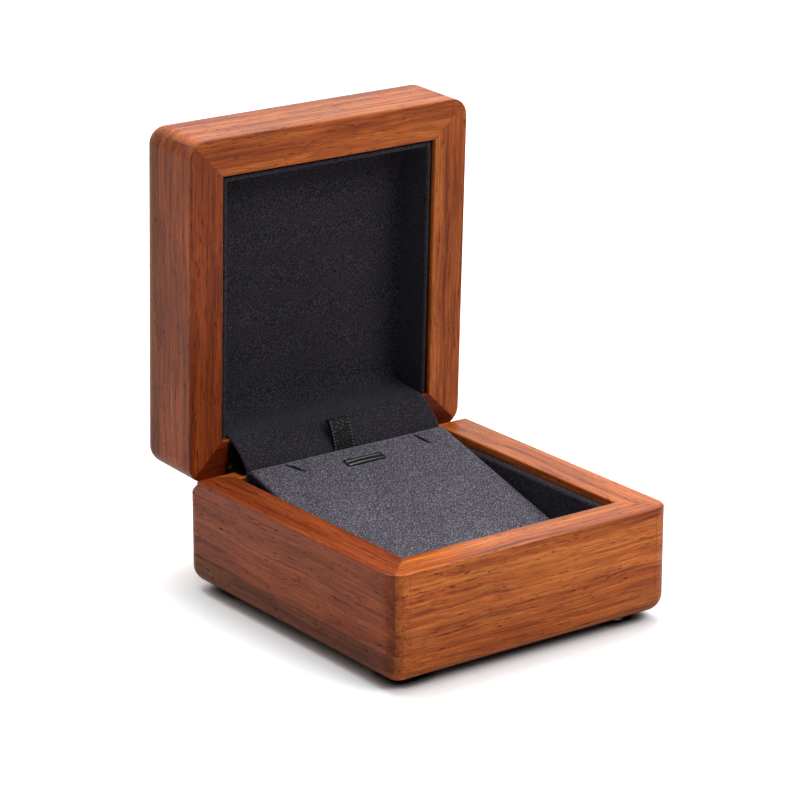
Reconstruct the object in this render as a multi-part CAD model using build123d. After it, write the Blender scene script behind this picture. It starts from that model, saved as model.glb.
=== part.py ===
from build123d import *
from math import atan, cos, degrees, radians, sin
import os

# Pendant box, standing open. X to the right, Y to the back, Z up, in millimetres.
# The pieces are drawn about the centre of the bottom board's underside. At the end all of them
# move so that the origin is on the table, midway between the case's front and the open lid's back.

# Driving dimensions of the wooden case
WIDTH = 82.0
DEPTH = 86.0
WALL = 9.6
BASE_HEIGHT = 27.0
LID_HEIGHT = 21.0
BOARD = 7.5
CORNER_RADIUS = 4.6
BOTTOM_ROUND = 4.5
TOP_ROUND = 4.4
RIM_EASE = 0.45

# Relief along the back of the base, which lets the lid's back edge swing down
RELIEF_START = 37.5
RELIEF_STEP = 0.8
RELIEF_DROP = 5.5

# Hinge line and the angle at which the lid stands
HINGE_Y = 40.8
CLOSED_GAP = 0.1
LID_ANGLE = 88.0

# Butt hinges, one pair
HINGE_X = 22.0
LEAF_LENGTH = 16.0
LEAF_THICKNESS = 0.7
LEAF_FRONT = 34.2
LEAF_CLEARANCE = 0.05
KNUCKLE_RADIUS = 1.3
KNUCKLE_GAP = 0.2
END_KNUCKLE = 5.0
PIN_RADIUS = 0.5
PIN_FIT = 0.03
PIN_OVERHANG = 0.3
GROOVE_RADIUS = 1.65
SCREW_Y = 35.7
SCREW_SPACING = 10.0
SCREW_HEAD_RADIUS = 0.95
SCREW_RADIUS = 0.5
SCREW_LENGTH = 4.5

# Distance from the middle of the base back to the middle of the whole open box
OPEN_MIDDLE_Y = 9.4

# Rubber bumper feet
FOOT_RADIUS = 4.0
FOOT_HEIGHT = 2.0
FOOT_BEVEL = 0.7
FOOT_INSET = 9.5

# Suede lining of the base
LINING = 1.4
LINING_FLOOR = 1.2
LINING_DROP = 2.0

# Suede lining tray of the lid
TRAY_WALL = 1.2
TRAY_GAP = 0.5
TRAY_DROP = 1.0
TRAY_PANEL = 1.3

# Pendant pad: a card with a suede cover, tilted down to the front
PAD_HALF_WIDTH = 29.3
PAD_BACK_Y = 32.2
PAD_FRONT_Y = -31.4
PAD_BACK_Z = 28.92
PAD_SLOPE = 0.271
COVER = 0.7
CARD = 1.6
LEG = 1.6
LEG_INSET = 0.5
PAD_ROUND = 0.5

# Slits for the chain, and the slot for the elastic loop
SLIT_WIDTH = 0.7
LEFT_SLIT = ((-19.4, 31.4), (-17.9, 29.0), (-16.2, 26.9))
RIGHT_SLIT = ((19.5, 31.2), (20.2, 29.0), (21.2, 26.5))
SLOT_X = 0.7
SLOT_Y = 26.0
SLOT_LENGTH = 11.6
SLOT_WIDTH = 2.2
STRAND_RADIUS = 0.42
STRAND_SPACING = 1.0
STRAND_DEPTH = 0.55

# Satin ribbon loop that lifts the pad
RIBBON_X = -0.3
RIBBON_WIDTH = 6.0
RIBBON_FOLD = 0.55
RIBBON_RISE = 0.6
RIBBON_BEND = 1.5
RIBBON_TOP_Y = 36.7
RIBBON_TOP_Z = 35.2
RIBBON_TUCK = 4.0

# Suede flap over the hinges
FLAP_HALF_WIDTH = 29.2
FLAP_THICKNESS = 0.35
FLAP_Y = 33.0
FLAP_LOW = 10.0
FLAP_BEND_Z = 28.7
FLAP_BEND_RADIUS = 2.0
FLAP_CLEARANCE = 0.15

# Values worked out from those above
HALF_W = WIDTH / 2
HALF_D = DEPTH / 2
INNER_X = HALF_W - WALL
INNER_Y = HALF_D - WALL
MATING_Z = BASE_HEIGHT + CLOSED_GAP
HINGE_Z = BASE_HEIGHT + CLOSED_GAP / 2
LID_TOP = MATING_Z + LID_HEIGHT
HINGE_AXIS = Axis((0, HINGE_Y, HINGE_Z), (1, 0, 0))
PAD_ANGLE = degrees(atan(PAD_SLOPE))
SWING = radians(LID_ANGLE)


def opened(part):
    """Swing a piece that was drawn on the closed lid to where the lid stands."""
    return part.rotate(HINGE_AXIS, -LID_ANGLE)


def opened_point(y, z):
    """Where a point of the closed lid's cross-section goes when the lid stands open."""
    ahead = HINGE_Y - y
    above = z - HINGE_Z
    return (
        HINGE_Y - ahead * cos(SWING) + above * sin(SWING),
        HINGE_Z + ahead * sin(SWING) + above * cos(SWING),
    )


def block(x0, x1, y0, y1, z0, z1):
    """An upright block between two corners."""
    size = (x1 - x0, y1 - y0, z1 - z0)
    centre = ((x0 + x1) / 2, (y0 + y1) / 2, (z0 + z1) / 2)
    return Pos(*centre) * Box(*size)


def plate(z0, z1):
    """The case's full outline, with its rounded upright corners."""
    return Pos(0, 0, z0) * extrude(RectangleRounded(WIDTH, DEPTH, CORNER_RADIUS), z1 - z0)


def side_prism(points, half_width):
    """A closed outline of (y, z) points, drawn across X from side to side."""
    face = make_face(Polyline(*[(0, y, z) for y, z in points], close=True))
    return extrude(face, amount=half_width, dir=(1, 0, 0), both=True)


def edges_at(part, z):
    return part.edges().filter_by_position(Axis.Z, z, z)


def strip_along(spine, width, thickness):
    """A flat strip, level across X, along a line in the middle plane."""
    start = Plane(origin=spine @ 0, x_dir=(1, 0, 0), z_dir=spine % 0)
    return sweep(start * Rectangle(width, thickness), spine)


# Wooden case


def frame(z0, z1, rim_z):
    """The four walls in one ring, with the rim's edges eased."""
    ring = plate(z0, z1) - block(-INNER_X, INNER_X, -INNER_Y, INNER_Y, z0, z1)
    return fillet(edges_at(ring, rim_z), RIM_EASE)


def mitred_rails(ring, prefix):
    """Cut a ring at its corners into front, back, left and right rails."""
    tall = 4 * BASE_HEIGHT
    corners = {
        "front": ((-HALF_W, -HALF_D), (HALF_W, -HALF_D), (INNER_X, -INNER_Y), (-INNER_X, -INNER_Y)),
        "back": ((-HALF_W, HALF_D), (HALF_W, HALF_D), (INNER_X, INNER_Y), (-INNER_X, INNER_Y)),
        "left": ((-HALF_W, -HALF_D), (-INNER_X, -INNER_Y), (-INNER_X, INNER_Y), (-HALF_W, HALF_D)),
        "right": ((HALF_W, -HALF_D), (INNER_X, -INNER_Y), (INNER_X, INNER_Y), (HALF_W, HALF_D)),
    }
    rails = {}
    for side, outline in corners.items():
        wedge = extrude(make_face(Polyline(*outline, close=True)), amount=tall, dir=(0, 0, 1), both=True)
        rails[f"{prefix}_{side}_rail"] = ring & wedge
    return rails


def back_relief():
    """The waste taken off the top back edge of the base."""
    beyond = HALF_D + WALL
    slope = (RELIEF_DROP - RELIEF_STEP) / (HALF_D - RELIEF_START)
    low = BASE_HEIGHT - RELIEF_STEP - slope * (beyond - RELIEF_START)
    outline = (
        (RELIEF_START, BASE_HEIGHT + WALL),
        (RELIEF_START, BASE_HEIGHT - RELIEF_STEP),
        (beyond, low),
        (beyond, BASE_HEIGHT + WALL),
    )
    return side_prism(outline, WIDTH)


def leaf_mortise(x, z0, z1):
    """The seat of a hinge leaf, open to the back."""
    half = LEAF_LENGTH / 2 + LEAF_CLEARANCE
    return block(x - half, x + half, LEAF_FRONT - LEAF_CLEARANCE, HINGE_Y, z0, z1)


def knuckle_groove(x):
    half = LEAF_LENGTH / 2 + PIN_OVERHANG + KNUCKLE_GAP
    return Pos(x, HINGE_Y, HINGE_Z) * Rot(0, 90, 0) * Cylinder(GROOVE_RADIUS, 2 * half)


def base_wood():
    ring = frame(BOARD, BASE_HEIGHT, BASE_HEIGHT) - back_relief()
    for x in (-HINGE_X, HINGE_X):
        ring -= leaf_mortise(x, BASE_HEIGHT - LEAF_THICKNESS - LEAF_CLEARANCE, BASE_HEIGHT + WALL)
        for screw in base_screws(x):
            ring -= screw
    rails = mitred_rails(ring, "base")
    board = plate(0, BOARD)
    rails["base_bottom_board"] = fillet(edges_at(board, 0), BOTTOM_ROUND)
    return rails


def lid_wood():
    board_z = LID_TOP - BOARD
    ring = frame(MATING_Z, board_z, MATING_Z)
    for x in (-HINGE_X, HINGE_X):
        ring -= leaf_mortise(x, MATING_Z - WALL, MATING_Z + LEAF_THICKNESS + LEAF_CLEARANCE)
        ring -= knuckle_groove(x)
        for screw in lid_screws(x):
            ring -= screw
    rails = mitred_rails(ring, "lid")
    board = plate(board_z, LID_TOP)
    rails["lid_top_board"] = fillet(edges_at(board, LID_TOP), TOP_ROUND)
    return {name: opened(part) for name, part in rails.items()}


def bumper_feet():
    """Four low discs with a bevelled sole, stuck under the corners."""
    disc = Pos(0, 0, -FOOT_HEIGHT / 2) * Cylinder(FOOT_RADIUS, FOOT_HEIGHT)
    foot = chamfer(edges_at(disc, -FOOT_HEIGHT), FOOT_BEVEL)
    x = HALF_W - FOOT_INSET
    y = HALF_D - FOOT_INSET
    return Compound(children=[Pos(sx * x, sy * y, 0) * foot for sx in (-1, 1) for sy in (-1, 1)])


# Hinges


def screw(x, z, inward):
    """A countersunk brass screw whose flat head lies at height z; inward is 1 for up, -1 for down."""
    head_height = SCREW_HEAD_RADIUS - SCREW_RADIUS
    outline = Polyline(
        (0, 0),
        (SCREW_HEAD_RADIUS, 0),
        (SCREW_RADIUS, head_height),
        (SCREW_RADIUS, SCREW_LENGTH),
        (0, SCREW_LENGTH),
        close=True,
    )
    body = revolve(Plane.XZ * make_face(outline), Axis.Z)
    if inward < 0:
        body = body.rotate(Axis.X, 180)
    return Pos(x, SCREW_Y, z) * body


def base_screws(x):
    top = BASE_HEIGHT - LEAF_CLEARANCE
    return [screw(x + side * SCREW_SPACING / 2, top, -1) for side in (-1, 1)]


def lid_screws(x):
    face = MATING_Z + LEAF_CLEARANCE
    return [screw(x + side * SCREW_SPACING / 2, face, 1) for side in (-1, 1)]


def knuckle(x0, x1):
    centre = Pos((x0 + x1) / 2, HINGE_Y, HINGE_Z) * Rot(0, 90, 0)
    return centre * Cylinder(KNUCKLE_RADIUS, x1 - x0)


def pin_bore(x):
    return Pos(x, HINGE_Y, HINGE_Z) * Rot(0, 90, 0) * Cylinder(PIN_RADIUS + PIN_FIT, 2 * LEAF_LENGTH)


def base_leaf(x):
    """The leaf on the base's rim, with the two end knuckles."""
    half = LEAF_LENGTH / 2
    top = BASE_HEIGHT - LEAF_CLEARANCE
    leaf = block(x - half, x + half, LEAF_FRONT, HINGE_Y, top - LEAF_THICKNESS, top)
    inner = half - END_KNUCKLE
    reach = KNUCKLE_RADIUS + KNUCKLE_GAP
    leaf -= block(x - inner, x + inner, HINGE_Y - reach, HINGE_Y, 0, LID_TOP)
    leaf += knuckle(x - half, x - inner)
    leaf += knuckle(x + inner, x + half)
    for fastener in base_screws(x):
        leaf -= fastener
    return leaf - pin_bore(x)


def lid_leaf(x):
    """The leaf on the lid's edge, with the middle knuckle."""
    half = LEAF_LENGTH / 2
    face = MATING_Z + LEAF_CLEARANCE
    leaf = block(x - half, x + half, LEAF_FRONT, HINGE_Y, face, face + LEAF_THICKNESS)
    inner = half - END_KNUCKLE
    reach = KNUCKLE_RADIUS + KNUCKLE_GAP
    for x0, x1 in ((x - half, x - inner + KNUCKLE_GAP), (x + inner - KNUCKLE_GAP, x + half)):
        leaf -= block(x0, x1, HINGE_Y - reach, HINGE_Y, 0, LID_TOP)
    leaf += knuckle(x - inner + KNUCKLE_GAP, x + inner - KNUCKLE_GAP)
    for fastener in lid_screws(x):
        leaf -= fastener
    return leaf - pin_bore(x)


def hinge_pin(x):
    length = LEAF_LENGTH + 2 * PIN_OVERHANG
    return Pos(x, HINGE_Y, HINGE_Z) * Rot(0, 90, 0) * Cylinder(PIN_RADIUS, length)


def hinges():
    sides = (-HINGE_X, HINGE_X)
    return {
        "hinge_base_leaves": Compound(children=[base_leaf(x) for x in sides]),
        "hinge_lid_leaves": Compound(children=[opened(lid_leaf(x)) for x in sides]),
        "hinge_pins": Compound(children=[hinge_pin(x) for x in sides]),
        "hinge_base_screws": Compound(children=[s for x in sides for s in base_screws(x)]),
        "hinge_lid_screws": Compound(children=[opened(s) for x in sides for s in lid_screws(x)]),
    }


# Linings


def base_lining():
    """A card tray with a floor and three walls; the flap covers the fourth wall."""
    top = BASE_HEIGHT - LINING_DROP
    tray = block(-INNER_X, INNER_X, -INNER_Y, INNER_Y, BOARD, top)
    inside = block(
        -INNER_X + LINING, INNER_X - LINING, -INNER_Y + LINING, INNER_Y + WALL, BOARD + LINING_FLOOR, top
    )
    tray -= inside
    soft = [e for e in edges_at(tray, top) if e.center().Y < INNER_Y - LINING]
    return fillet(soft, LINING / 2 - 0.1)


def lid_lining():
    """A card tray behind a thin raised lip, open on the hinge side, where the flap comes in."""
    x = INNER_X - TRAY_GAP
    y = INNER_Y - TRAY_GAP
    low = MATING_Z + TRAY_DROP
    high = LID_TOP - BOARD
    tray = block(-x, x, -y, y, low, high)
    tray -= block(-x + TRAY_WALL, x - TRAY_WALL, -y + TRAY_WALL, y + WALL, low, high - TRAY_PANEL)
    lip = [e for e in edges_at(tray, low) if e.center().Y < y - TRAY_WALL]
    return opened(fillet(lip, TRAY_WALL / 2 - 0.1))


# Pendant pad


def pad_top(y):
    """Height of the suede on the pad at a given Y."""
    return PAD_BACK_Z + PAD_SLOPE * (y - PAD_BACK_Y)


def slit_cutter(points):
    """An upright cut along a line of points on the pad."""
    path = Polyline(*[(x, y, 0) for x, y in points])
    strip = make_face(offset(path, SLIT_WIDTH / 2).edges())
    return extrude(strip, amount=2 * BASE_HEIGHT, dir=(0, 0, 1))


def pad_openings():
    slot = block(
        SLOT_X - SLOT_LENGTH / 2,
        SLOT_X + SLOT_LENGTH / 2,
        SLOT_Y - SLOT_WIDTH / 2,
        SLOT_Y + SLOT_WIDTH / 2,
        BOARD,
        2 * BASE_HEIGHT,
    )
    return slot, slit_cutter(LEFT_SLIT), slit_cutter(RIGHT_SLIT)


def pad_sheet(depth, thickness, inset):
    """A sheet that follows the pad's slope, its top face a given depth under the suede."""
    back = PAD_BACK_Y - inset
    front = PAD_FRONT_Y + inset
    rise = 1 / cos(radians(PAD_ANGLE))
    outline = (
        (back, pad_top(back) - depth * rise),
        (front, pad_top(front) - depth * rise),
        (front, pad_top(front) - (depth + thickness) * rise),
        (back, pad_top(back) - (depth + thickness) * rise),
    )
    sheet = side_prism(outline, PAD_HALF_WIDTH - inset)
    for opening in pad_openings():
        sheet -= opening
    return sheet


def pad_cover():
    """The suede, with its upper outer edges turned over softly."""
    cover = pad_sheet(0, COVER, 0)
    outer = [
        e
        for e in cover.edges().filter_by(GeomType.LINE)
        if abs(e.center().Z - pad_top(e.center().Y)) < 0.01
        and (abs(abs(e.center().X) - PAD_HALF_WIDTH) < 0.01 or e.length > PAD_HALF_WIDTH)
    ]
    return fillet(outer, PAD_ROUND)


def pad_leg(y0, y1):
    """An upright card under the pad, from its underside to the floor of the tray."""
    floor = BOARD + LINING_FLOOR
    under = (COVER + CARD) / cos(radians(PAD_ANGLE))
    outline = ((y0, floor), (y1, floor), (y1, pad_top(y1) - under), (y0, pad_top(y0) - under))
    return side_prism(outline, PAD_HALF_WIDTH - LEG_INSET)


def pad_elastic():
    """Two strands across the slot; each turns down into it at both ends."""
    strands = []
    reach = SLOT_LENGTH / 2 - 2 * STRAND_RADIUS
    depth = COVER + CARD
    for side in (-1, 1):
        y = SLOT_Y + side * STRAND_SPACING / 2
        z = pad_top(y) - STRAND_DEPTH
        path = Polyline(
            (SLOT_X - reach, y, z - depth),
            (SLOT_X - reach, y, z),
            (SLOT_X + reach, y, z),
            (SLOT_X + reach, y, z - depth),
        )
        section = Plane(origin=path @ 0, z_dir=path % 0) * Circle(STRAND_RADIUS)
        strands.append(sweep(section, path, transition=Transition.RIGHT))
    return Compound(children=strands)


def ribbon_tab():
    """A folded satin loop behind the pad's back edge, leaning back over the flap."""
    low = PAD_BACK_Z - RIBBON_TUCK
    foot_y = PAD_BACK_Y + RIBBON_FOLD / 2 + 0.05
    spine = FilletPolyline(
        (0, foot_y, low),
        (0, foot_y, PAD_BACK_Z + RIBBON_RISE),
        (0, RIBBON_TOP_Y, RIBBON_TOP_Z),
        radius=RIBBON_BEND,
    )
    return Pos(RIBBON_X, 0, 0) * strip_along(spine, RIBBON_WIDTH, RIBBON_FOLD)


# Flap


def hinge_flap():
    """A suede strip up the base's back wall, over the hinges and on along the lid's wall."""
    rail_face = INNER_Y - FLAP_CLEARANCE - FLAP_THICKNESS
    over_edge = opened_point(rail_face, MATING_Z - 0.2)
    at_panel = opened_point(rail_face, LID_TOP - BOARD - TRAY_PANEL - FLAP_CLEARANCE)
    spine = FilletPolyline(
        (0, FLAP_Y + FLAP_THICKNESS / 2, FLAP_LOW),
        (0, FLAP_Y + FLAP_THICKNESS / 2, FLAP_BEND_Z),
        (0, *over_edge),
        (0, *at_panel),
        radius=FLAP_BEND_RADIUS,
    )
    return strip_along(spine, 2 * FLAP_HALF_WIDTH, FLAP_THICKNESS)


nodes = {
    **base_wood(),
    **lid_wood(),
    **hinges(),
    "bumper_feet": bumper_feet(),
    "base_lining": base_lining(),
    "lid_lining": lid_lining(),
    "pad_cover": pad_cover(),
    "pad_card": pad_sheet(COVER, CARD, LEG_INSET),
    "pad_back_leg": pad_leg(PAD_BACK_Y - LEG_INSET - LEG, PAD_BACK_Y - LEG_INSET),
    "pad_front_leg": pad_leg(PAD_FRONT_Y + LEG_INSET, PAD_FRONT_Y + LEG_INSET + LEG),
    "pad_elastic": pad_elastic(),
    "ribbon_tab": ribbon_tab(),
    "hinge_flap": hinge_flap(),
}

on_table = Pos(0, -OPEN_MIDDLE_Y, FOOT_HEIGHT)

os.makedirs("parts", exist_ok=True)
for name, part in nodes.items():
    solids = [on_table * solid for solid in part.solids()]
    export_step(Compound(children=solids), f"parts/{name}.step")
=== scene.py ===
from math import atan, cos, dist, hypot, pi, radians, sin

import bmesh
import bpy
from mathutils import Matrix, Vector, noise

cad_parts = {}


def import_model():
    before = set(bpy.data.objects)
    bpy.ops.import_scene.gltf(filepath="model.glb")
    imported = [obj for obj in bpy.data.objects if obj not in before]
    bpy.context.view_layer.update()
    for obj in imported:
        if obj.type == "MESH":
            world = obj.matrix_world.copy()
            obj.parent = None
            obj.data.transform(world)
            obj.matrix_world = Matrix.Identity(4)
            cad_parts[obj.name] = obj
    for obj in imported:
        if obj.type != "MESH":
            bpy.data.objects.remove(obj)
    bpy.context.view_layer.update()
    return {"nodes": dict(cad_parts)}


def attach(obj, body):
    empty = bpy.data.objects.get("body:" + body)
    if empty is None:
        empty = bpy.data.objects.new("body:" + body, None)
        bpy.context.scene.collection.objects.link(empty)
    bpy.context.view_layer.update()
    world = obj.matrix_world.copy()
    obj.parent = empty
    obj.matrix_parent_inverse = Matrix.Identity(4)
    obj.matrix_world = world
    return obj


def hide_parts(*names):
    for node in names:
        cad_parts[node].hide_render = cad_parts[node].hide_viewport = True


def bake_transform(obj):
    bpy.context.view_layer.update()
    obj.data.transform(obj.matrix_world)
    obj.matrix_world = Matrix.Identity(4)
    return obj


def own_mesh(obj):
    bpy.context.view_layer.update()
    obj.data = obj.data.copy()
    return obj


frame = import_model()

MM = 0.001

# Sizes of the case, in millimetres in the row frame
BASE_MIDDLE_Y = -9.4
RIM_Z = 29.0
BOARD_TOP_Z = 9.5
INNER_X = 31.4
INNER_FRONT = BASE_MIDDLE_Y - 33.4
INNER_BACK = BASE_MIDDLE_Y + 33.4
WELL_LENGTH = INNER_BACK - INNER_FRONT
CORNER_SEAM_X = 36.4
CORNER_SEAM_Y = -47.8
HINGE = (31.4, 29.05)
LID_ANGLE = radians(88.0)

# The lining of the base
LINING = 1.4
LINING_ROLL = 0.9
LINING_TOP = RIM_Z - 2.0
LINING_FLOOR = BOARD_TOP_Z + 1.2

# The lid's tray, measured on the shut lid
TRAY_HALF = INNER_X - 0.5
TRAY_TOP = BASE_MIDDLE_Y - 32.9
TRAY_LOW = BASE_MIDDLE_Y + 32.9
TRAY_EDGE = 30.1
TRAY_LIP = 1.2
TRAY_FILLET = 1.6
PANEL_DEPTH = 41.3

# The pad's plane and cover
PAD_HALF = 29.3
PAD_BACK = BASE_MIDDLE_Y + 32.2
PAD_FRONT = BASE_MIDDLE_Y - 31.4
PAD_BACK_Z = 30.92
PAD_SLOPE = 0.271
PAD_TILT = atan(PAD_SLOPE)
PAD_COVER = 0.7
PAD_ROUND = 0.7

# Chain slits, each (start, bend, end) from the middle of the base, and its greatest width
SLITS = (
    (((-19.4, 31.4), (-17.9, 29.0), (-16.2, 26.9)), 0.95),
    (((19.5, 31.2), (20.2, 29.0), (21.2, 26.5)), 0.8),
)
DIP_REACH = 1.24
DIP_DEPTH = 0.22

# The slot, the cut through the pad and the elastic in it
SLOT_X = 0.7
SLOT_Y = BASE_MIDDLE_Y + 26.0
SLOT_LENGTH = 11.8
SLOT_WIDTH = 3.0
SLOT_CORNER = 0.7
CUT_SPAN = (22.0, 36.0)
STRAND_RADIUS = 0.55
STRAND_OFFSET = 0.66
STRAND_HALF = 4.9
STRAND_SINK = 0.12
STRAND_TURN = (0.3, 0.9)

# The flap and the ribbon
FLAP_HALF = 29.2
FLAP_THICKNESS = 0.35
FLAP_Y = BASE_MIDDLE_Y + 33.15
FLAP_FOLD_Z = 31.3
RIBBON_X = -0.3
RIBBON_HALF = 3.0
RIBBON_THICKNESS = 0.2
RIBBON_FOOT = (BASE_MIDDLE_Y + 32.45, 26.4)
RIBBON_KNEE = (BASE_MIDDLE_Y + 32.6, 31.2)
RIBBON_TOP = (BASE_MIDDLE_Y + 35.4, 37.3)
RIBBON_FOLD = 0.8

# Floor and light
FLOOR_HALF = 3000.0
FLOOR_TONE = 0.62
FLOOR_SEEN = 1.3
FLOOR_TINT = (0.98, 1.01, 1.02)
CONTACT_REACH = 4.0
TARGET = (0.0, 0.0, 0.05)
BEHIND = (0.59, 0.8, 0.1)

# Camera, worked out from the photo's edges
CAMERA_AT = (-462.836, -627.525, 306.301)
CAMERA_YAW = radians(-36.368)
CAMERA_PITCH = radians(18.245)
CAMERA_ROLL = radians(0.091)
CAMERA_LENS = 153.5


# Helpers for meshes


def mesh_object(name, verts, faces, smooth=True):
    mesh = bpy.data.meshes.new(name)
    mesh.from_pydata([Vector(v) * MM for v in verts], [], faces)
    mesh.update()
    made = bpy.data.objects.new(name, mesh)
    bpy.context.collection.objects.link(made)
    for polygon in mesh.polygons:
        polygon.use_smooth = smooth
    return made


def grid_faces(columns, rows, start=0, flipped=False):
    """Faces between points that are listed row by row, from index start on."""
    faces = []
    for j in range(rows - 1):
        for i in range(columns - 1):
            a = start + j * columns + i
            face = (a, a + 1, a + 1 + columns, a + columns)
            faces.append((face[0], *face[:0:-1]) if flipped else face)
    return faces


def grid_object(name, columns, rows, point):
    """A sheet of (columns x rows) points, each from point(column, row)."""
    verts = [point(i, j) for j in range(rows) for i in range(columns)]
    return mesh_object(name, verts, grid_faces(columns, rows))


def thicken(made, thickness, offset=-1.0):
    mod = made.modifiers.new("thickness", "SOLIDIFY")
    mod.thickness = thickness * MM
    mod.offset = offset
    mod.use_even_offset = True


def apply_modifiers(made):
    graph = bpy.context.evaluated_depsgraph_get()
    mesh = bpy.data.meshes.new_from_object(made.evaluated_get(graph))
    made.modifiers.clear()
    made.data = mesh


def on_curve(start, bend, end, t):
    """A point of the curve that leaves start towards bend and ends at end."""
    a, b, c = (1 - t) ** 2, 2 * t * (1 - t), t * t
    return tuple(a * p + b * q + c * r for p, q, r in zip(start, bend, end))


def line_length(points):
    return sum(dist(a, b) for a, b in zip(points, points[1:]))


def opened(x, y, z):
    """A point of the shut lid, where it goes when the lid stands open."""
    ahead = HINGE[0] - y
    above = z - HINGE[1]
    return (
        x,
        HINGE[0] - ahead * cos(LID_ANGLE) + above * sin(LID_ANGLE),
        HINGE[1] + ahead * sin(LID_ANGLE) + above * cos(LID_ANGLE),
    )


def pad_z(y):
    """Height of the pad's plane."""
    return PAD_BACK_Z + PAD_SLOPE * (y - PAD_BACK)


# Helpers for materials


class Graph:
    """A small wrapper that adds shader nodes and joins them."""

    def __init__(self, name):
        self.material = bpy.data.materials.new(name)
        self.material.use_nodes = True
        self.tree = self.material.node_tree
        self.tree.nodes.clear()
        out = self.tree.nodes.new("ShaderNodeOutputMaterial")
        self.shader = self.tree.nodes.new("ShaderNodeBsdfPrincipled")
        self.tree.links.new(self.shader.outputs[0], out.inputs[0])

    def put(self, value, socket):
        if isinstance(value, bpy.types.NodeSocket):
            self.tree.links.new(value, socket)
        else:
            socket.default_value = value

    def node(self, kind, settings=None, **inputs):
        made = self.tree.nodes.new(kind)
        for key, value in (settings or {}).items():
            setattr(made, key, value)
        for key, value in inputs.items():
            self.put(value, made.inputs[key.replace("_", " ")])
        return made

    def math(self, operation, a, b=0.0):
        made = self.tree.nodes.new("ShaderNodeMath")
        made.operation = operation
        self.put(a, made.inputs[0])
        self.put(b, made.inputs[1])
        return made.outputs[0]

    def noise(self, vector, scale, detail=4.0, roughness=0.55):
        made = self.node("ShaderNodeTexNoise", Vector=vector, Scale=scale, Detail=detail, Roughness=roughness)
        return made.outputs[0]

    def ramp(self, value, stops):
        made = self.tree.nodes.new("ShaderNodeValToRGB")
        elements = made.color_ramp.elements
        while len(elements) < len(stops):
            elements.new(0.5)
        for element, (at, colour) in zip(elements, stops):
            element.position = at
            element.color = (*colour, 1.0)
        self.put(value, made.inputs[0])
        return made.outputs[0]

    def grey_ramp(self, value, stops):
        return self.ramp(value, [(at, (v, v, v)) for at, v in stops])

    def mix(self, factor, a, b, blend="MIX"):
        """Blends a and b, each a socket or a colour."""
        made = self.tree.nodes.new("ShaderNodeMix")
        made.data_type = "RGBA"
        made.blend_type = blend
        self.put(factor, made.inputs[0])
        for value, socket in ((a, made.inputs[6]), (b, made.inputs[7])):
            self.put(value if isinstance(value, bpy.types.NodeSocket) else (*value, 1.0), socket)
        return made.outputs[2]

    def darken(self, colour, shade):
        return self.mix(1.0, colour, shade, "MULTIPLY")

    def bump(self, height, strength, distance, normal=None):
        made = self.node("ShaderNodeBump", Height=height, Strength=strength, Distance=distance)
        if normal is not None:
            self.put(normal, made.inputs["Normal"])
        return made.outputs[0]

    def object_space(self, turn=(0.0, 0.0, 0.0), shift=(0.0, 0.0, 0.0), scale=(1.0, 1.0, 1.0)):
        place = self.node("ShaderNodeTexCoord")
        moved = self.node("ShaderNodeMapping", {"vector_type": "POINT"}, Vector=place.outputs["Object"])
        moved.inputs["Rotation"].default_value = turn
        moved.inputs["Location"].default_value = shift
        moved.inputs["Scale"].default_value = scale
        return moved.outputs[0]


def linear(r, g, b):
    """A colour given as 8-bit display values, for a shader socket."""

    def one(v):
        v = v / 255
        return v / 12.92 if v <= 0.04045 else ((v + 0.055) / 1.055) ** 2.4

    return one(r), one(g), one(b)


# Wood. The grain runs along the mapped X axis, and a piece's turn brings its own length to that axis.

ALONG_X = (0.0, 0.0, 0.0)
ALONG_Y = (0.0, 0.0, pi / 2)
UP_LID = (0.0, pi / 2, 0.0)
PORE_BROWN = (46, 16, 8)
GRAIN_BEND = 0.0028
SEAM_HALF = 0.11
CREVICE_SHADE_REACH = 2.2
EDGE_SOFTNESS = 0.25


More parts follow.
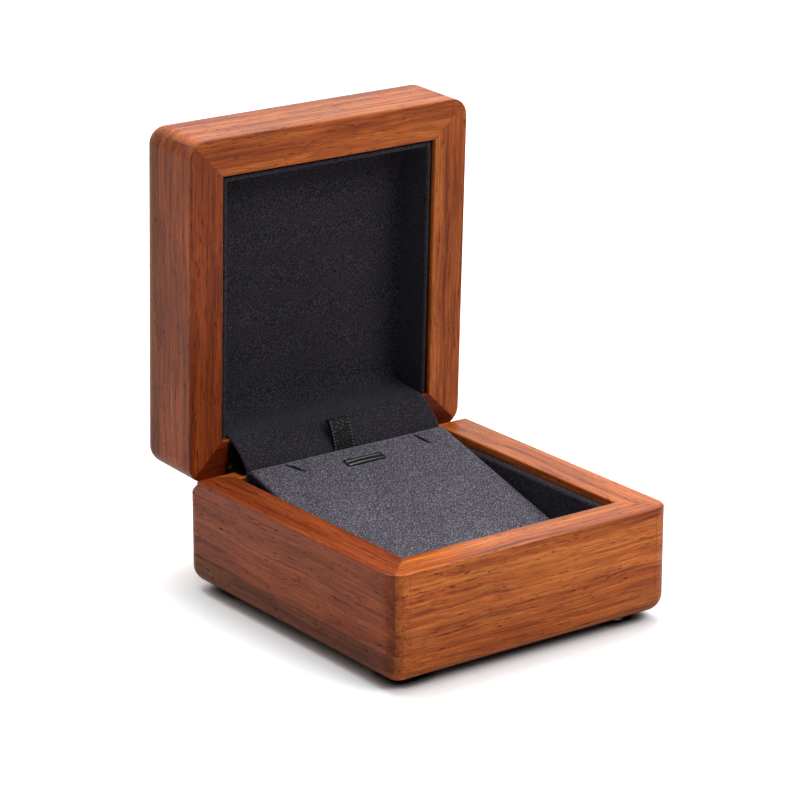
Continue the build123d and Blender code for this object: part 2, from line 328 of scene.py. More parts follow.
def wood(name, turn, seed, tones, end_dark=0.45, painted_face_shade=0.0, seams=(), side_turn=None):
    """Tones are dark, middle and light. end_dark deepens the end grain, and painted_face_shade paints shade
    on the faces across Y.
    Each seam is (axis, place in millimetres) of a hairline joint.
    side_turn gives the faces across X a grain of their own, as a lipping has."""
    dark, middle, light = tones
    g = Graph(name)
    place = g.node("ShaderNodeTexCoord")
    normal = g.node("ShaderNodeSeparateXYZ", Vector=place.outputs["Normal"])
    shift = (seed * 0.37, seed * 0.61, seed * 0.23)
    space = g.object_space(turn=turn, shift=shift)
    if side_turn:
        to_side = g.math("GREATER_THAN", g.math("ABSOLUTE", normal.outputs[0]), 0.7)
        choice = g.node("ShaderNodeMix", {"data_type": "VECTOR"})
        g.put(to_side, choice.inputs[0])
        g.put(space, choice.inputs[4])
        g.put(g.object_space(turn=side_turn, shift=shift), choice.inputs[5])
        space = choice.outputs[1]

    def streaks(vector, along, across, detail, roughness):
        stretched = g.node("ShaderNodeMapping", Vector=vector)
        stretched.inputs["Scale"].default_value = (along, across, across)
        return g.noise(stretched.outputs[0], 1.0, detail, roughness)

    # Fibres that wander a little from straight
    wander = g.node("ShaderNodeTexNoise", Vector=space, Scale=38.0, Detail=2.0)
    centred = g.node("ShaderNodeVectorMath", {"operation": "SUBTRACT"})
    g.put(wander.outputs[1], centred.inputs[0])
    centred.inputs[1].default_value = (0.5, 0.5, 0.5)
    bend = g.node("ShaderNodeVectorMath", {"operation": "SCALE"})
    g.put(centred.outputs[0], bend.inputs[0])
    bend.inputs["Scale"].default_value = GRAIN_BEND
    warped = g.node("ShaderNodeVectorMath", {"operation": "ADD"})
    g.put(space, warped.inputs[0])
    g.put(bend.outputs[0], warped.inputs[1])
    fibres = warped.outputs[0]

    # Bands, lines and hairs of the grain, with darker veins and slow clouds of tone
    broad = streaks(fibres, 9, 260, 3.0, 0.5)
    fine = streaks(fibres, 26, 1250, 4.0, 0.6)
    hair = streaks(fibres, 110, 4200, 3.0, 0.65)
    rings = g.math("ADD", g.math("MULTIPLY", broad, 0.5), g.math("MULTIPLY", fine, 0.5))
    body = g.ramp(rings, [(0.34, dark), (0.48, middle), (0.62, light)])
    veins = g.grey_ramp(streaks(fibres, 12, 760, 4.0, 0.6), [(0.35, 1.0), (0.43, 0.0)])
    body = g.mix(g.math("MULTIPLY", veins, 0.6), body, tuple(c * 0.5 for c in dark))
    body = g.darken(body, g.grey_ramp(hair, [(0.3, 0.66), (0.7, 1.3)]))
    cloud = g.grey_ramp(streaks(space, 30, 60, 2.0, 0.5), [(0.3, 0.82), (0.7, 1.14)])
    body = g.darken(body, cloud)

    # Pores: short dark dashes, in patches
    pore_dash = g.grey_ramp(streaks(fibres, 420, 4200, 1.0, 0.4), [(0.33, 1.0), (0.39, 0.0)])
    pore_area = g.grey_ramp(streaks(fibres, 90, 700, 2.0, 0.5), [(0.45, 0.0), (0.58, 1.0)])
    pores = g.math("MULTIPLY", pore_dash, pore_area)
    body = g.mix(g.math("MULTIPLY", pores, 0.8), body, linear(*PORE_BROWN))

    # End grain and shaded faces
    facing = g.node("ShaderNodeMapping", {"vector_type": "NORMAL"}, Vector=place.outputs["Normal"])
    facing.inputs["Rotation"].default_value = turn
    along = g.math("ABSOLUTE", g.node("ShaderNodeSeparateXYZ", Vector=facing.outputs[0]).outputs[0])
    body = g.darken(body, g.grey_ramp(along, [(0.25, 1.0), (0.8, 1.0 - end_dark)]))
    # Painted shade on the faces across Y
    if painted_face_shade:
        across = g.math("ABSOLUTE", normal.outputs[1])
        shade_tone = (1 - painted_face_shade, 1 - 1.35 * painted_face_shade, 1 - 1.6 * painted_face_shade)
        body = g.darken(body, g.ramp(across, [(0.4, (1.0, 1.0, 1.0)), (0.95, shade_tone)]))

    # Hairline joints, and painted shade in the crevices
    spot = g.node("ShaderNodeSeparateXYZ", Vector=place.outputs["Object"])
    for axis, at in seams:
        away = g.math("ABSOLUTE", g.math("SUBTRACT", spot.outputs["XYZ".index(axis)], at * MM))
        line = g.node("ShaderNodeMapRange", Value=away)
        line.inputs["From Max"].default_value = SEAM_HALF * MM
        line.inputs["To Min"].default_value = 0.42
        body = g.darken(body, line.outputs[0])
    crevice_shade = g.node("ShaderNodeAmbientOcclusion", {"samples": 6}, Distance=CREVICE_SHADE_REACH * MM)
    body = g.darken(body, g.grey_ramp(crevice_shade.outputs["AO"], [(0.25, 0.12), (0.62, 1.0)]))
    g.put(body, g.shader.inputs["Base Color"])

    # Satin varnish, duller in the pores
    smear = g.noise(space, 220.0, 3.0)
    rough = g.math("ADD", g.grey_ramp(smear, [(0.3, 0.27), (0.7, 0.36)]), g.math("MULTIPLY", pores, 0.3))
    g.put(rough, g.shader.inputs["Roughness"])
    g.shader.inputs["Specular IOR Level"].default_value = 0.22
    edge = g.node("ShaderNodeBevel", {"samples": 4})
    edge.inputs["Radius"].default_value = EDGE_SOFTNESS * MM
    height = g.math("SUBTRACT", g.math("MULTIPLY", fine, 0.3), pores)
    g.put(g.bump(height, 0.25, 0.00006, edge.outputs[0]), g.shader.inputs["Normal"])
    return g.material


def suede(name, dark, middle, light, sheen):
    """Charcoal microfibre with pale and dark flecks."""
    g = Graph(name)
    space = g.object_space()
    flecks = g.noise(space, 3000.0, 2.0, 0.7)
    nap = g.noise(space, 1300.0, 3.0, 0.6)
    patch = g.noise(space, 60.0, 3.0, 0.55)
    base = g.ramp(flecks, [(0.36, linear(*dark)), (0.52, linear(*middle)), (0.66, linear(*light))])
    base = g.darken(base, g.grey_ramp(patch, [(0.35, 0.92), (0.65, 1.09)]))
    base = g.darken(base, g.grey_ramp(nap, [(0.3, 0.84), (0.7, 1.16)]))
    g.put(base, g.shader.inputs["Base Color"])
    g.shader.inputs["Roughness"].default_value = 0.95
    g.shader.inputs["Specular IOR Level"].default_value = 0.1
    g.shader.inputs["Sheen Weight"].default_value = sheen
    g.shader.inputs["Sheen Roughness"].default_value = 0.45
    g.shader.inputs["Sheen Tint"].default_value = (*linear(200, 194, 214), 1.0)
    height = g.math("ADD", g.math("MULTIPLY", flecks, 0.7), nap)
    g.put(g.bump(height, 0.5, 0.00012), g.shader.inputs["Normal"])
    return g.material


def satin():
    """Black satin ribbon: a tight weave with a speckle of painted sheen on its threads, and a stitched edge.
    """
    g = Graph("satin_ribbon")
    threads = g.noise(g.object_space(scale=(1.0, 1.0, 1.6)), 2600.0, 2.0, 0.7)
    where = g.node("ShaderNodeTexCoord").outputs["Object"]
    spot = g.node("ShaderNodeSeparateXYZ", Vector=where)
    off_centre = g.math("ABSOLUTE", g.math("ADD", spot.outputs[0], -RIBBON_X * MM))
    from_middle = g.math("MULTIPLY", off_centre, 300.0)
    border = g.grey_ramp(from_middle, [(0.72, 0.0), (0.78, 1.0), (0.86, 1.0), (0.9, 0.0)])
    stitches = g.node("ShaderNodeTexWave", {"bands_direction": "Z"}, Vector=where, Scale=420.0)
    dots = g.math("MULTIPLY", border, g.grey_ramp(stitches.outputs[1], [(0.55, 0.0), (0.75, 1.0)]))
    # The pale speckle on the black weave is painted sheen.
    black, grey, painted_sheen = linear(5, 5, 6), linear(16, 16, 17), linear(120, 120, 124)
    base = g.ramp(threads, [(0.52, black), (0.6, grey), (0.68, painted_sheen)])
    base = g.mix(g.math("MULTIPLY", dots, 0.8), base, linear(104, 104, 108))
    g.put(base, g.shader.inputs["Base Color"])
    g.shader.inputs["Roughness"].default_value = 0.6
    g.shader.inputs["Specular IOR Level"].default_value = 0.22
    g.put(g.bump(g.math("ADD", dots, threads), 0.6, 0.00006), g.shader.inputs["Normal"])
    return g.material


def braid():
    """Glossy black elastic with a slanted braid."""
    g = Graph("elastic")
    wave = g.node(
        "ShaderNodeTexWave", {"bands_direction": "DIAGONAL"}, Vector=g.object_space(), Scale=1500.0
    )
    base = g.ramp(wave.outputs[1], [(0.2, linear(10, 10, 11)), (0.9, linear(66, 66, 70))])
    g.put(base, g.shader.inputs["Base Color"])
    g.shader.inputs["Roughness"].default_value = 0.14
    g.shader.inputs["Specular IOR Level"].default_value = 0.8
    g.put(g.bump(wave.outputs[1], 0.25, 0.00004), g.shader.inputs["Normal"])
    return g.material


def brass():
    """Brushed brass, with painted shade that makes it nearly black where it lies deep in the gap."""
    g = Graph("brass")
    brushed = g.noise(g.object_space(scale=(1.0, 14.0, 14.0)), 900.0, 3.0, 0.6)
    ao_painted_shade = g.node("ShaderNodeAmbientOcclusion", {"samples": 8}, Distance=6 * MM)
    tone = g.ramp(brushed, [(0.3, linear(176, 138, 70)), (0.7, linear(222, 186, 112))])
    # Painted shade from ambient occlusion
    shade = g.grey_ramp(ao_painted_shade.outputs["AO"], [(0.15, 0.04), (0.8, 1.0)])
    g.put(g.darken(tone, shade), g.shader.inputs["Base Color"])
    g.shader.inputs["Metallic"].default_value = 1.0
    g.put(g.grey_ramp(brushed, [(0.3, 0.22), (0.7, 0.38)]), g.shader.inputs["Roughness"])
    g.put(g.bump(brushed, 0.2, 0.00003), g.shader.inputs["Normal"])
    return g.material


def silicone():
    """Clear grey silicone."""
    g = Graph("silicone")
    cloudy = g.noise(g.object_space(), 500.0, 3.0)
    base = g.ramp(cloudy, [(0.3, linear(112, 116, 115)), (0.7, linear(140, 144, 142))])
    g.put(base, g.shader.inputs["Base Color"])
    g.shader.inputs["Transmission Weight"].default_value = 0.75
    g.shader.inputs["IOR"].default_value = 1.41
    g.put(g.grey_ramp(cloudy, [(0.3, 0.12), (0.7, 0.26)]), g.shader.inputs["Roughness"])
    g.put(g.bump(cloudy, 0.1, 0.0001), g.shader.inputs["Normal"])
    return g.material


def card():
    """Black card with a fibrous face."""
    g = Graph("card")
    fibre = g.noise(g.object_space(), 1800.0, 4.0, 0.7)
    base = g.ramp(fibre, [(0.3, linear(16, 16, 18)), (0.7, linear(34, 34, 37))])
    g.put(base, g.shader.inputs["Base Color"])
    g.shader.inputs["Roughness"].default_value = 0.85
    g.put(g.bump(fibre, 0.4, 0.0001), g.shader.inputs["Normal"])
    return g.material


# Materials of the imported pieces

warm = (linear(134, 52, 15), linear(182, 89, 30), linear(214, 120, 52))
deep = (linear(116, 46, 17), linear(156, 72, 31), linear(184, 94, 46))
deepest = (linear(108, 38, 13), linear(144, 62, 25), linear(172, 82, 38))
upright_seams = [("X", -CORNER_SEAM_X), ("X", CORNER_SEAM_X)]
front_seams = [*upright_seams, ("Z", BOARD_TOP_Z)]
side_seams = [("Z", BOARD_TOP_Z), ("Y", CORNER_SEAM_Y)]

woods = {
    "base_front_rail": wood("rosewood_front", ALONG_X, 1.0, warm, seams=front_seams),
    "base_back_rail": wood("rosewood_back", ALONG_X, 2.3, warm, seams=front_seams),
    "base_left_rail": wood("rosewood_left", ALONG_Y, 3.1, deepest, seams=side_seams),
    "base_right_rail": wood("rosewood_right", ALONG_Y, 4.7, warm, seams=side_seams),
    "base_bottom_board": wood(
        "rosewood_bottom", ALONG_X, 1.0, warm, end_dark=0.56, seams=front_seams, side_turn=ALONG_Y
    ),
    # On the lid rails the faces across Y carry painted shade, deepest on the back rail in the gap by the
    # hinges.
    "lid_front_rail": wood("rosewood_lid_front", ALONG_X, 6.4, warm, painted_face_shade=0.1, seams=upright_seams),
    "lid_back_rail": wood("rosewood_lid_back", ALONG_X, 7.2, deep, painted_face_shade=0.55),
    "lid_left_rail": wood("rosewood_lid_left", UP_LID, 8.8, deep, painted_face_shade=0.3),
    "lid_right_rail": wood("rosewood_lid_right", UP_LID, 9.5, warm, painted_face_shade=0.03),
    "lid_top_board": wood("rosewood_lid_top", ALONG_X, 10.6, warm, end_dark=0.52, side_turn=UP_LID),
}
shared = {
    "suede": suede("suede", (26, 25, 28), (48, 46, 52), (76, 73, 82), 0.22),
    # The pad's suede is a lighter copy of the lid's suede: painted light where the pad catches the overhead
    # light.
    "suede_pad_painted_light": suede("suede_pad_painted_light", (33, 32, 36), (80, 77, 85), (154, 149, 162), 0.52),
    "satin_ribbon": satin(),
    "elastic": braid(),
    "brass": brass(),
    "silicone": silicone(),
    "card": card(),
}
plain = {
    "hinge_base_leaves": "brass",
    "hinge_lid_leaves": "brass",
    "hinge_pins": "brass",
    "hinge_base_screws": "brass",
    "hinge_lid_screws": "brass",
    "bumper_feet": "silicone",
    "pad_card": "card",
    "pad_back_leg": "card",
    "pad_front_leg": "card",
}


def paint(made, material):
    made.data.materials.clear()
    made.data.materials.append(material)


for node, material in woods.items():
    paint(frame["nodes"][node], material)
for node, key in plain.items():
    paint(frame["nodes"][node], shared[key])


def finish_piece(made, material):
    paint(made, material)


# Base lining: walls of padded card under suede, with a soft rolled top, and a bed of suede


def lining_profile(height):
    """Section of a lining wall from its foot, over the rolled top, to the wood: (inward, up) points."""
    points = [(LINING, 0.0)]
    points += [(LINING, (height - LINING_ROLL) * k / 4) for k in range(1, 5)]
    for k in range(1, 7):
        angle = pi / 2 * k / 6
        inward = LINING - LINING_ROLL + LINING_ROLL * cos(angle)
        points.append((inward, height - LINING_ROLL + LINING_ROLL * sin(angle)))
    return points + [(0.15, height), (0.0, height - 0.35)]


def base_lining():
    height = LINING_TOP - LINING_FLOOR
    profile = lining_profile(height)
    spans = 26

    # Each wall's seed, and the place of a point that is so far in from the wood and so far along the wall
    walls = {
        "left": (1, lambda inward, t: (-INNER_X + inward, INNER_FRONT + WELL_LENGTH * t)),
        "front": (7, lambda inward, t: (-INNER_X + 2 * INNER_X * t, INNER_FRONT + inward)),
        "right": (13, lambda inward, t: (INNER_X - inward, INNER_FRONT + WELL_LENGTH * t)),
    }
    pieces = []
    for side, (seed, place) in walls.items():

        def wall_point(i, j):
            inward, up = profile[i]
            t = j / spans
            if inward > 0.2:
                inward += 0.25 * sin(pi * t) * (up / height) ** 2
                inward += 0.12 * noise.noise(Vector((t * 5, i * 0.3, seed)))
            return (*place(inward, t), LINING_FLOOR + up)

        pieces.append(grid_object(f"lining_{side}", len(profile), spans + 1, wall_point))

    columns, rows, inset = 16, 18, 0.4

    def bed_point(i, j):
        return (
            -INNER_X + inset + 2 * (INNER_X - inset) * i / (columns - 1),
            INNER_FRONT + inset + (WELL_LENGTH - 2 * inset) * j / (rows - 1),
            LINING_FLOOR + 0.06 * noise.noise(Vector((i * 0.7, j * 0.7, 3))),
        )

    pieces.append(grid_object("lining_floor", columns, rows, bed_point))
    for made in pieces:
        finish_piece(made, shared["suede"])
        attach(made, "base")
    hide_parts("base_lining")


base_lining()

# Lid lining: a tray with a rolled lip on three sides, a sunk panel and soft inner corners


def lid_lining():
    """Drawn on the shut lid, from the lip at its mating face to the panel, then opened."""
    depth = PANEL_DEPTH - TRAY_EDGE
    section = [(0.0, 0.9), (0.05, 0.35), (0.3, 0.05), (0.6, 0.0), (0.9, 0.05), (1.15, 0.3), (TRAY_LIP, 0.7)]
    section += [(TRAY_LIP, depth * k / 6) for k in range(1, 6)]
    for k in range(1, 6):
        angle = pi / 2 * k / 5
        section.append((TRAY_LIP + TRAY_FILLET * (1 - cos(angle)), depth - TRAY_FILLET * (1 - sin(angle))))
    rings = [(TRAY_HALF - inward, TRAY_TOP + inward, TRAY_EDGE + deep) for inward, deep in section]

    count = 24
    verts = []
    for half, top, z in rings:
        for i in range(count + 1):
            verts.append(opened(-half, TRAY_LOW + (top - TRAY_LOW) * i / count, z))
        for i in range(1, count + 1):
            verts.append(opened(-half + 2 * half * i / count, top, z))
        for i in range(1, count + 1):
            verts.append(opened(half, top + (TRAY_LOW - top) * i / count, z))
    faces = grid_faces(3 * count + 1, len(rings), flipped=True)
    faces += grid_faces(count + 1, count + 1, start=len(verts))
    half, top, z = rings[-1]
    for j in range(count + 1):
        y = TRAY_LOW + (top - TRAY_LOW) * j / count
        for i in range(count + 1):
            x = -half + 2 * half * i / count
            verts.append(opened(x, y, z + 0.05 * noise.noise(Vector((x * 0.08, y * 0.08, 0)))))
    made = mesh_object("lid_tray", verts, faces)
    finish_piece(made, shared["suede"])
    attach(made, "lid")
    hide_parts("lid_lining")


lid_lining()

# Pad: suede over a card, with soft turned edges, cut for the chain slits and the elastic


def slit_dip(x, y):
    """How far the suede sinks near a slit, at a place from the middle of the base."""
    deepest = 0.0
    for line, _ in SLITS:
        for (x0, y0), (x1, y1) in zip(line, line[1:]):
            dx, dy = x1 - x0, y1 - y0
            t = max(0.0, min(1.0, ((x - x0) * dx + (y - y0) * dy) / (dx * dx + dy * dy)))
            gap = hypot(x - x0 - t * dx, y - y0 - t * dy)
            deepest = max(deepest, max(0.0, 1 - gap / DIP_REACH) ** 2 * DIP_DEPTH)
    return deepest


def slit_cutter(line, widest):
    """An upright curved blade, thin at both ends."""
    (x0, y0), (x1, y1), (x2, y2) = line
    steps = 14
    verts, faces = [], []
    for k in range(steps + 1):
        t = k / steps
        x, y = on_curve(*line, t)
        dx = (1 - t) * (x1 - x0) + t * (x2 - x1)
        dy = (1 - t) * (y1 - y0) + t * (y2 - y1)
        half = widest * sin(pi * (0.06 + 0.9 * t)) ** 0.8 / 2 + 0.04
        nx, ny = -dy / hypot(dx, dy) * half, dx / hypot(dx, dy) * half
        for side in (-1, 1):
            for z in CUT_SPAN:
                verts.append((x + side * nx, y + BASE_MIDDLE_Y + side * ny, z))
    for k in range(steps):
        a, b = 4 * k, 4 * k + 4
        faces += [(a, a + 1, b + 1, b), (a + 2, b + 2, b + 3, a + 3)]
        faces += [(a, b, b + 2, a + 2), (a + 1, a + 3, b + 3, b + 1)]
    last = 4 * steps
    faces += [(0, 2, 3, 1), (last, last + 1, last + 3, last + 2)]
    return mesh_object("cutter", verts, faces, smooth=False)


def slot_cutter():
    """An upright block with round corners."""
    reach_x, reach_y = SLOT_LENGTH / 2 - SLOT_CORNER, SLOT_WIDTH / 2 - SLOT_CORNER
    outline = []
    for side_x, side_y, start in ((1, 1, 0), (-1, 1, 90), (-1, -1, 180), (1, -1, 270)):
        for k in range(5):
            angle = radians(start + 90 * k / 4)
            x = SLOT_X + side_x * reach_x + SLOT_CORNER * cos(angle)
            outline.append((x, SLOT_Y + side_y * reach_y + SLOT_CORNER * sin(angle)))
    n = len(outline)
    verts = [(x, y, z) for z in CUT_SPAN for x, y in outline]
    faces = [tuple(range(n - 1, -1, -1)), tuple(range(n, 2 * n))]
    faces += [(k, (k + 1) % n, n + (k + 1) % n, n + k) for k in range(n)]
    return mesh_object("cutter", verts, faces, smooth=False)


def cut_through(made, cutters):
    """Takes the cutters out of the piece, and leaves their dark card on the walls of the cuts as painted
    shade.
    """
    for k, cutter in enumerate(cutters):
        shape = bmesh.new()
        shape.from_mesh(cutter.data)
        bmesh.ops.recalc_face_normals(shape, faces=shape.faces)
        shape.to_mesh(cutter.data)
        shape.free()
        # The near-black card on the cut walls is painted shade inside the cuts.
        paint(cutter, shared["card"])
        cut = made.modifiers.new(f"cut_{k}", "BOOLEAN")
        cut.operation = "DIFFERENCE"
        cut.solver = "EXACT"
        cut.object = cutter
        cut.material_mode = "TRANSFER"
    apply_modifiers(made)
    for cutter in cutters:
        bpy.data.objects.remove(cutter)


def pad():
    rise, run = sin(PAD_TILT), cos(PAD_TILT)
    length = (PAD_BACK - PAD_FRONT) / run
    columns, rows = 120, 130

    def point(i, j):
        x = PAD_HALF * (-1 + 2 * i / (columns - 1))
        s = length * (j / (rows - 1))
        y = PAD_FRONT + s * run
        inside = PAD_ROUND - min(PAD_HALF - abs(x), s, length - s, PAD_ROUND)
        drop = PAD_ROUND - max(0.0, PAD_ROUND**2 - inside**2) ** 0.5
        soft = 0.05 * noise.noise(Vector((x * 0.09, s * 0.09, 5)))
        soft += 0.02 * noise.noise(Vector((x * 0.4, s * 0.4, 9)))
        lift = soft - drop - slit_dip(x, y - BASE_MIDDLE_Y)
        return (x, y - lift * rise, pad_z(y) + lift * run)

    made = grid_object("pendant_pad", columns, rows, point)
    thicken(made, PAD_COVER)
    paint(made, shared["suede_pad_painted_light"])
    cut_through(made, [slit_cutter(line, widest) for line, widest in SLITS] + [slot_cutter()])
    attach(made, "pad")
    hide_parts("pad_cover")


pad()

# Elastic: two strands side by side in the slot, turned down at their ends


def tube(name, points, radius):
    curve = bpy.data.curves.new(name, "CURVE")
    curve.dimensions = "3D"
    curve.bevel_depth = radius * MM
    curve.bevel_resolution = 4
    curve.use_fill_caps = True
    spline = curve.splines.new("POLY")
    spline.points.add(len(points) - 1)
    for at, place in zip(spline.points, points):
        at.co = (*(Vector(place) * MM), 1.0)
    route = bpy.data.objects.new(name, curve)
    bpy.context.collection.objects.link(route)
    bpy.context.view_layer.update()
    mesh = bpy.data.meshes.new_from_object(route)
    bpy.data.objects.remove(route)
    made = bpy.data.objects.new(name, mesh)
    bpy.context.collection.objects.link(made)
    for polygon in mesh.polygons:
        polygon.use_smooth = True
    return made


def elastic():
    out, down = STRAND_TURN
    quarter = [pi / 2 * k / 6 for k in range(7)]
    for name, side in (("elastic_front", -1), ("elastic_back", 1)):
        y = SLOT_Y + side * STRAND_OFFSET
        top = pad_z(y) - STRAND_SINK
        left, right = SLOT_X - STRAND_HALF, SLOT_X + STRAND_HALF
        points = [(left - out * cos(a), y, top - down + down * sin(a)) for a in quarter]
        for k in range(1, 20):
            crown = sin(pi * k / 20)
            points.append((left + 2 * STRAND_HALF * k / 20, y + 0.06 * side * crown, top + 0.16 * crown))
        points += [(right + out * sin(a), y, top - down + down * cos(a)) for a in quarter]
        strand = tube(name, points, STRAND_RADIUS)
        finish_piece(strand, shared["elastic"])
        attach(strand, "pad")
    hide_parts("pad_elastic")


elastic()

# Flap: suede that rises behind the pad, folds over the hinges and runs up into the lid


def flap_line():
    """Centre line as (y, z) points, evenly spaced and smoothed."""
    edge = opened(0, INNER_BACK - 0.3, 29.2)[1:]
    panel = opened(0, INNER_BACK - 0.3, 41.0)[1:]
    rise = opened(0, INNER_BACK - 2.6, 41.1)[1:]
    sunk = opened(0, INNER_BACK - 5.2, 41.65)[1:]
    knots = [
        (FLAP_Y, 12.0),
        (FLAP_Y, 24.0),
        (FLAP_Y, 29.6),
        (FLAP_Y + 0.4, FLAP_FOLD_Z),
        ((FLAP_Y + edge[0]) / 2 + 0.2, (FLAP_FOLD_Z + edge[1]) / 2 + 0.3),
        (edge[0], edge[1] + 0.15),
        ((edge[0] + panel[0]) / 2, (edge[1] + panel[1]) / 2 + 0.1),
        (panel[0] - 0.6, panel[1] + 0.7),
        rise,
        sunk,
    ]
    line = []
    for (ya, za), (yb, zb) in zip(knots, knots[1:]):
        steps = max(2, int(hypot(yb - ya, zb - za) / 0.6))
        line += [(ya + (yb - ya) * k / steps, za + (zb - za) * k / steps) for k in range(steps)]
    line.append(knots[-1])
    for _ in range(14):
        smoothed = [
            ((a[0] + 2 * b[0] + c[0]) / 4, (a[1] + 2 * b[1] + c[1]) / 4)
            for a, b, c in zip(line, line[1:], line[2:])
        ]
        line = [line[0], *smoothed, line[-1]]
    return line, edge


def flap():
    line, edge = flap_line()
    columns = 60

    def point(i, j):
        u = -1 + 2 * i / (columns - 1)
        y, z = line[j]
        wave = 0.12 * noise.noise(Vector((u * 2.5, j * 0.12, 2)))
        return (FLAP_HALF * u, y + wave * 0.5, z + wave)

    made = grid_object("hinge_flap_suede", columns, len(line), point)
    thicken(made, FLAP_THICKNESS, 0.0)
    apply_modifiers(made)
    finish_piece(made, shared["suede"])
    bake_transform(made)
    line_length(line) * MM
    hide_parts("hinge_flap")


flap()

# Ribbon: a folded satin loop that stands up behind the pad's back edge


def ribbon():
    front, back = [], []
    for k in range(25):
        t = k / 24
        y, z = on_curve(RIBBON_FOOT, RIBBON_KNEE, RIBBON_TOP, t)
        front.append((y, z))
        back.append((y + 0.35 + 1.25 * t**0.8, z - 0.25 * t))
    fold = []
    for k in range(1, 8):
        angle = pi * k / 8
        y = RIBBON_TOP[0] + RIBBON_FOLD - RIBBON_FOLD * cos(angle)
        fold.append((y, RIBBON_TOP[1] + 0.35 * sin(angle) - 0.03 * k))
    line = front + fold + back[::-1]
    length = line_length(line)
    columns = 22

    def point(i, j):
        u = -1 + 2 * i / (columns - 1)
        y, z = line[j]
        return (RIBBON_X + RIBBON_HALF * u, y + 0.04 * noise.noise(Vector((u * 3, j * 0.2, 4))), z)

    made = grid_object("ribbon_loop", columns, len(line), point)
    thicken(made, RIBBON_THICKNESS, 0.0)
    apply_modifiers(made)
    finish_piece(made, shared["satin_ribbon"])
    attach(made, "pad")
    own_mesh(made)
    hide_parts("ribbon_tab")


ribbon()

# Floor, lights, world and camera


def floor():
    """White floor with its shadows and a painted contact shadow. The camera sees it brighter, and without the
    wood's warm bounce.
    """
    r = FLOOR_HALF
    made = mesh_object("floor", [(-r, -r, 0), (r, -r, 0), (r, r, 0), (-r, r, 0)], [(0, 1, 2, 3)])
    material = bpy.data.materials.new("floor")
    material.use_nodes = True
    tree = material.node_tree
    tree.nodes.clear()
    out = tree.nodes.new("ShaderNodeOutputMaterial")
    matt = tree.nodes.new("ShaderNodeBsdfDiffuse")
    tone = tree.nodes.new("ShaderNodeMix")
    tone.data_type = "RGBA"
    tone.inputs[6].default_value = (FLOOR_TONE, FLOOR_TONE, FLOOR_TONE, 1.0)
    tone.inputs[7].default_value = (*(FLOOR_SEEN * part for part in FLOOR_TINT), 1.0)
    path = tree.nodes.new("ShaderNodeLightPath")
    tree.links.new(path.outputs["Is Camera Ray"], tone.inputs[0])

    # Painted contact shadow: a dark line where the box nearly touches the floor
    ao_painted_shade = tree.nodes.new("ShaderNodeAmbientOcclusion")
    ao_painted_shade.samples = 16
    ao_painted_shade.inputs["Distance"].default_value = CONTACT_REACH * MM
    contact_shadow = tree.nodes.new("ShaderNodeMapRange")
    contact_shadow.inputs["From Min"].default_value = 0.2
    contact_shadow.inputs["From Max"].default_value = 0.62
    tree.links.new(ao_painted_shade.outputs["AO"], contact_shadow.inputs["Value"])
    under = tree.nodes.new("ShaderNodeMix")
    under.data_type = "RGBA"
    under.blend_type = "MULTIPLY"
    under.inputs[0].default_value = 1.0
    tree.links.new(tone.outputs[2], under.inputs[6])
    tree.links.new(contact_shadow.outputs[0], under.inputs[7])
    tree.links.new(under.outputs[2], matt.inputs[0])
    tree.links.new(matt.outputs[0], out.inputs[0])
    paint(made, material)


floor()


def area_light(name, at, size, power):
    data = bpy.data.lights.new(name, "AREA")
    data.shape = "RECTANGLE"
    data.size, data.size_y = size
    data.energy = power
    made = bpy.data.objects.new(name, data)
    bpy.context.collection.objects.link(made)
    made.location = at
    made.rotation_mode = "QUATERNION"
    made.rotation_quaternion = (Vector(TARGET) - Vector(at)).to_track_quat("-Z", "Y")


area_light("overhead", (0.1, 0.32, 1.2), (1.0, 1.0), 13.0)
area_light("front_fill", (0.42, -0.95, 0.95), (0.8, 0.6), 9.0)
area_light("left_fill", (-1.1, -0.25, 0.8), (0.7, 0.7), 1.8)


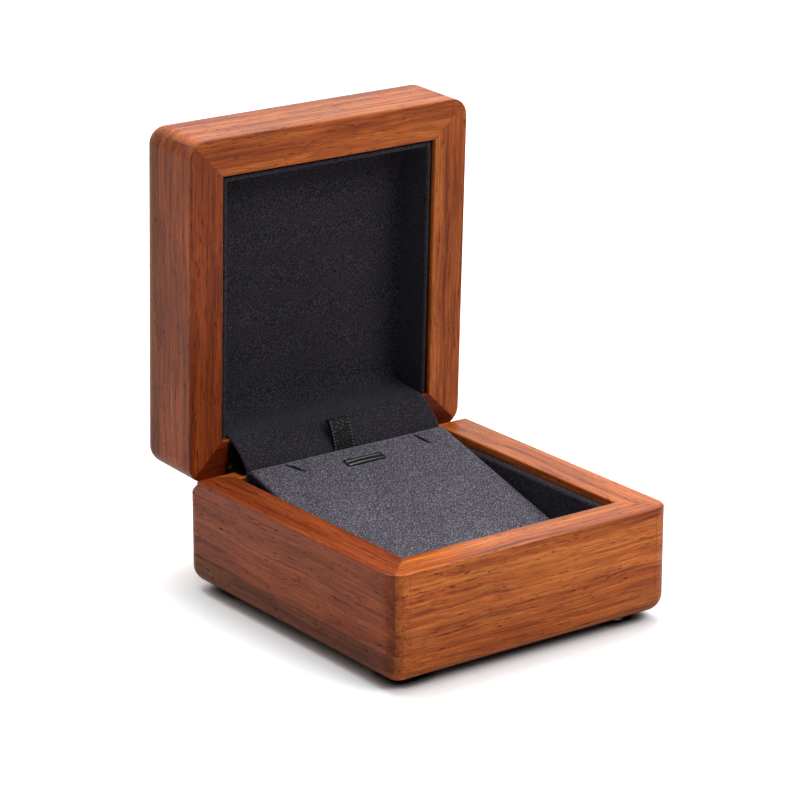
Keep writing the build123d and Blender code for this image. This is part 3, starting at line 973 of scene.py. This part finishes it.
def world():
    """White where the camera looks. For other rays, bright behind the object and dim before it."""
    made = bpy.data.worlds.new("studio")
    bpy.context.scene.world = made
    made.use_nodes = True
    tree = made.node_tree
    tree.nodes.clear()
    out = tree.nodes.new("ShaderNodeOutputWorld")
    soft = tree.nodes.new("ShaderNodeBackground")
    white = tree.nodes.new("ShaderNodeBackground")
    white.inputs["Strength"].default_value = 1.0
    place = tree.nodes.new("ShaderNodeTexCoord")
    dot = tree.nodes.new("ShaderNodeVectorMath")
    dot.operation = "DOT_PRODUCT"
    dot.inputs[1].default_value = BEHIND
    tree.links.new(place.outputs["Generated"], dot.inputs[0])
    spread = tree.nodes.new("ShaderNodeMapRange")
    spread.inputs["From Min"].default_value = 0.0
    spread.inputs["From Max"].default_value = 0.8
    spread.inputs["To Min"].default_value = 0.12
    spread.inputs["To Max"].default_value = 1.0
    tree.links.new(dot.outputs["Value"], spread.inputs["Value"])
    tree.links.new(spread.outputs[0], soft.inputs["Strength"])
    for background in (soft, white):
        background.inputs["Color"].default_value = (1.0, 1.0, 1.0, 1.0)
    path = tree.nodes.new("ShaderNodeLightPath")
    mix = tree.nodes.new("ShaderNodeMixShader")
    tree.links.new(path.outputs["Is Camera Ray"], mix.inputs[0])
    tree.links.new(soft.outputs[0], mix.inputs[1])
    tree.links.new(white.outputs[0], mix.inputs[2])
    tree.links.new(mix.outputs[0], out.inputs[0])


world()


def camera():
    yaw, pitch = CAMERA_YAW, CAMERA_PITCH
    back = Vector((sin(yaw) * cos(pitch), -cos(yaw) * cos(pitch), sin(pitch)))
    right = Vector((cos(yaw), sin(yaw), 0.0))
    up = back.cross(right)
    data = bpy.data.cameras.new("camera")
    data.sensor_width = 36.0
    data.lens = CAMERA_LENS
    data.clip_start = 0.05
    data.clip_end = 20.0
    made = bpy.data.objects.new("camera", data)
    bpy.context.collection.objects.link(made)
    turned = Matrix((right, up, back)).transposed().to_4x4() @ Matrix.Rotation(CAMERA_ROLL, 4, "Z")
    made.matrix_world = Matrix.Translation(Vector(CAMERA_AT) * MM) @ turned
    bpy.context.scene.camera = made


camera()
bpy.context.scene.view_settings.view_transform = "Standard"
